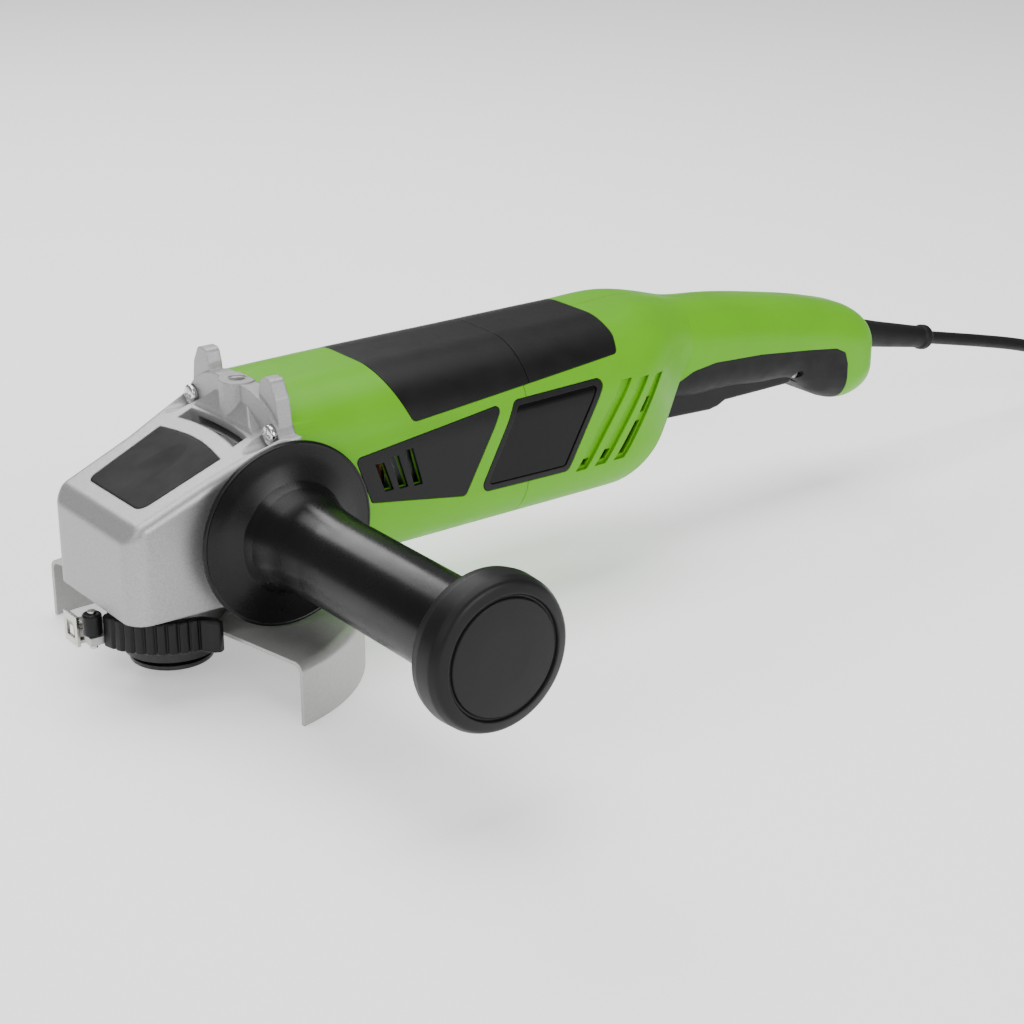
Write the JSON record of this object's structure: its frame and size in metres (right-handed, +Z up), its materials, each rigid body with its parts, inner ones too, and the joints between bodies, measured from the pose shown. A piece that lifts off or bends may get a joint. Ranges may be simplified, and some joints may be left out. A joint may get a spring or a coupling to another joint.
{
  "type": "angle grinder",
  "caption": "Corded angle grinder with cast gear head, rear paddle-switch handle, side handle, wheel guard with quick-release lever, and mains cord with plug.",
  "frame": {"origin": "on the spindle axis, at the plane where the wheel seats on its flange", "axes": "+X from the spindle towards the rear handle, +Z up and away from the wheel, -Y towards the fitted side handle"},
  "size_m": [0.6466, 0.2379, 0.112],
  "materials": {
    "cast_aluminium": "fine cast grain, satin",
    "green_plastic": "satin moulded",
    "black_plastic": "fine spark-eroded texture",
    "gloss_black": "gloss",
    "soft_rubber": "matt",
    "zinc_steel": "zinc plated satin",
    "dark_steel": "blackened",
    "bright_steel": "ground",
    "bronze": "sintered",
    "copper": "varnished",
    "lamination": "laminated",
    "carbon": "matt"
  },
  "bodies": {
    "tool_body": {"bearing_cover": "cast_aluminium", "bearing_cover_screws": "zinc_steel", "bearing_plate": "cast_aluminium", "brush_holders": "black_plastic", "brush_springs": "bright_steel", "carbon_brushes": "carbon", "cord_clamp": "black_plastic", "cord_coil": "soft_rubber", "cord_strain_relief": "soft_rubber", "fan_baffle": "black_plastic", "front_bearing": "bright_steel", "gear_case": "cast_aluminium", "gear_case_insert": "black_plastic", "gear_case_screws": "zinc_steel", "handle_grip_left": "soft_rubber", "handle_grip_right": "soft_rubber", "lock_spring": "bright_steel", "mains_cord": "soft_rubber", "mains_plug": "soft_rubber", "motor_housing": "green_plastic", "nameplate_frame_left": "black_plastic", "nameplate_frame_right": "black_plastic", "nameplate_left": "gloss_black", "nameplate_right": "gloss_black", "rear_bearing": "bright_steel", "rear_housing_left": "green_plastic", "rear_housing_right": "green_plastic", "side_handle_end_cap": "black_plastic", "side_handle_grip": "black_plastic", "side_handle_stud": "zinc_steel", "side_panel_left": "black_plastic", "side_panel_right": "black_plastic", "spindle_bearing": "bright_steel", "spindle_bush": "bronze", "stator_core": "lamination", "stator_windings": "copper", "switch_module": "black_plastic", "top_cover_front": "black_plastic", "top_cover_rear": "black_plastic", "trigger_pin": "zinc_steel"},
    "armature": {"armature_shaft": "dark_steel", "armature_core": "lamination", "armature_windings": "copper", "commutator": "copper", "cooling_fan": "black_plastic", "pinion_gear": "dark_steel", "pinion_nut": "zinc_steel"},
    "spindle": {"spindle": "dark_steel", "crown_gear": "dark_steel", "inner_flange": "dark_steel"},
    "flange_nut": {"flange_nut": "dark_steel"},
    "guard": {"guard": "zinc_steel", "guard_collar": "zinc_steel", "clamp_pins": "zinc_steel"},
    "clamp_lever": {"clamp_lever": "black_plastic"},
    "clamp_link": {"clamp_link": "zinc_steel"},
    "trigger": {"trigger": "black_plastic"},
    "lock_button": {"spindle_lock_button": "black_plastic"}
  },
  "joints": [
    {"name": "armature_spin", "type": "hinge", "parent": "tool_body", "child": "armature", "pos_m": [0, 0, 0.06], "axis": [1, 0, 0], "continuous": true},
    {"name": "spindle_spin", "type": "hinge", "parent": "tool_body", "child": "spindle", "pos_m": [0, 0, 0], "axis": [0, 0, 1], "continuous": true},
    {"name": "flange_nut_off", "type": "slide", "parent": "spindle", "child": "flange_nut", "axis": [0, 0, -1], "range_m": [0, 0.03]},
    {"name": "guard_turn", "type": "hinge", "parent": "tool_body", "child": "guard", "pos_m": [0, 0, 0], "axis": [0, 0, 1], "range_deg": [-90, 60]},
    {"name": "clamp_lever_swing", "type": "hinge", "parent": "guard", "child": "clamp_lever", "pos_m": [-0.0316, -0.0012, 0.012], "axis": [0, 0, -1], "range_deg": [0, 100]},
    {"name": "clamp_link_swing", "type": "hinge", "parent": "guard", "child": "clamp_link", "pos_m": [-0.0312, 0.0088, 0.012], "axis": [0, 0, -1], "range_deg": [0, 15]},
    {"name": "trigger_squeeze", "type": "hinge", "parent": "tool_body", "child": "trigger", "pos_m": [0.299, 0, 0.0485], "axis": [0, 1, 0], "range_deg": [0, 5], "stiffness_Nm_per_rad": 3, "springref_deg": -11.46},
    {"name": "spindle_lock_press", "type": "slide", "parent": "tool_body", "child": "lock_button", "axis": [0, -1, 0], "range_m": [0, 0.004], "stiffness_N_per_m": 900, "springref_m": -0.004}
  ],
  "couplings": [
    {"joint": "spindle_spin", "follows": "armature_spin", "ratio": 0.33333},
    {"joint": "clamp_link_swing", "follows": "clamp_lever_swing", "ratio": 0.15}
  ]
}
